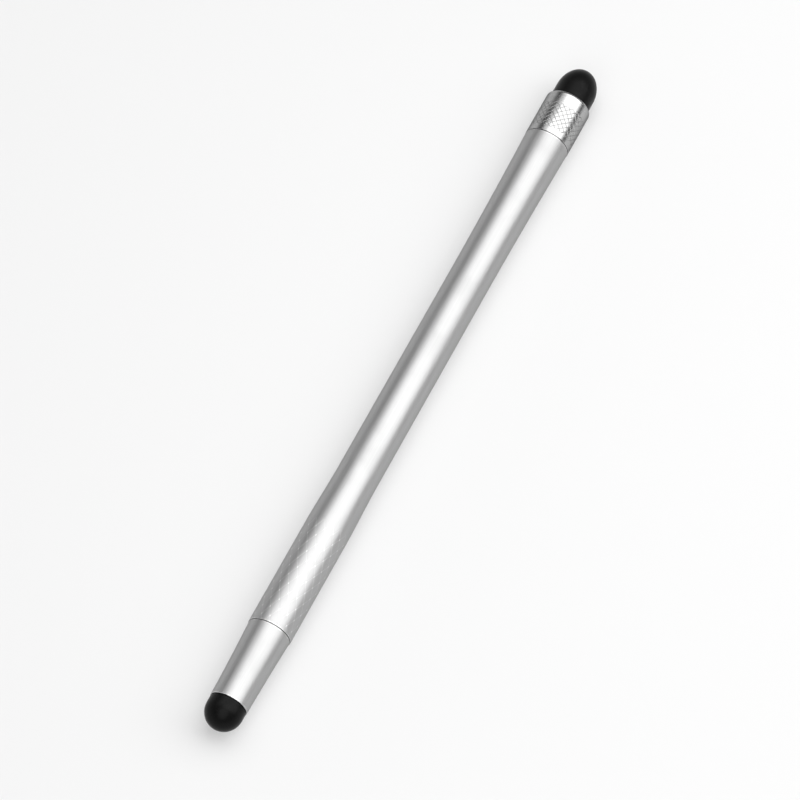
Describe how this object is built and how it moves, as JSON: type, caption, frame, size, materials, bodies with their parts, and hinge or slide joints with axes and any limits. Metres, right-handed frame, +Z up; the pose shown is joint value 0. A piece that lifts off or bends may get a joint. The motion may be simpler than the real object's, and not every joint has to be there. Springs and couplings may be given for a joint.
{
  "type": "stylus pen",
  "caption": "Slim waisted metal stylus pen for touch screens, with a soft rubber tip at each end, a screw-off nose cone and a screw-off knurled tail collar.",
  "frame": {"origin": "on the table under the middle of the pen's length, where the pen lies", "axes": "+X along the pen towards the knurled tail, +Z up from the table"},
  "size_m": [0.1448, 0.0084, 0.0084],
  "materials": {
    "satin_aluminium": "satin anodised",
    "polished_collar": "polished, knurled",
    "brass": "turned",
    "black_rubber": "matte moulded"
  },
  "bodies": {
    "barrel": {"barrel": "satin_aluminium", "front_plug": "brass", "rear_plug": "brass"},
    "front_tip_holder": {"front_tip_holder": "brass"},
    "nose_cone": {"nose_cone": "satin_aluminium"},
    "front_tip": {"front_tip": "black_rubber"},
    "rear_tip_holder": {"rear_tip_holder": "brass"},
    "tail_collar": {"tail_collar": "polished_collar"},
    "rear_tip": {"rear_tip": "black_rubber"}
  },
  "joints": [
    {"name": "nose_travel", "type": "slide", "parent": "barrel", "child": "front_tip_holder", "axis": [-1, 0, 0], "range_m": [0, 0.00525]},
    {"name": "nose_turn", "type": "hinge", "parent": "front_tip_holder", "child": "nose_cone", "pos_m": [-0.05255, 0, 0.0042], "axis": [-1, 0, 0], "range_deg": [0, 2520]},
    {"name": "front_tip_pull", "type": "slide", "parent": "front_tip_holder", "child": "front_tip", "axis": [-1, 0, 0], "range_m": [0, 0.003]},
    {"name": "collar_travel", "type": "slide", "parent": "barrel", "child": "rear_tip_holder", "axis": [1, 0, 0], "range_m": [0, 0.00525]},
    {"name": "collar_turn", "type": "hinge", "parent": "rear_tip_holder", "child": "tail_collar", "pos_m": [0.05556, 0, 0.0042], "axis": [1, 0, 0], "range_deg": [0, 2520]},
    {"name": "rear_tip_pull", "type": "slide", "parent": "rear_tip_holder", "child": "rear_tip", "axis": [1, 0, 0], "range_m": [0, 0.005]}
  ],
  "couplings": [
    {"joint": "nose_turn", "follows": "nose_travel", "rad_per_m": 8377.6},
    {"joint": "collar_turn", "follows": "collar_travel", "rad_per_m": 8377.6}
  ]
}
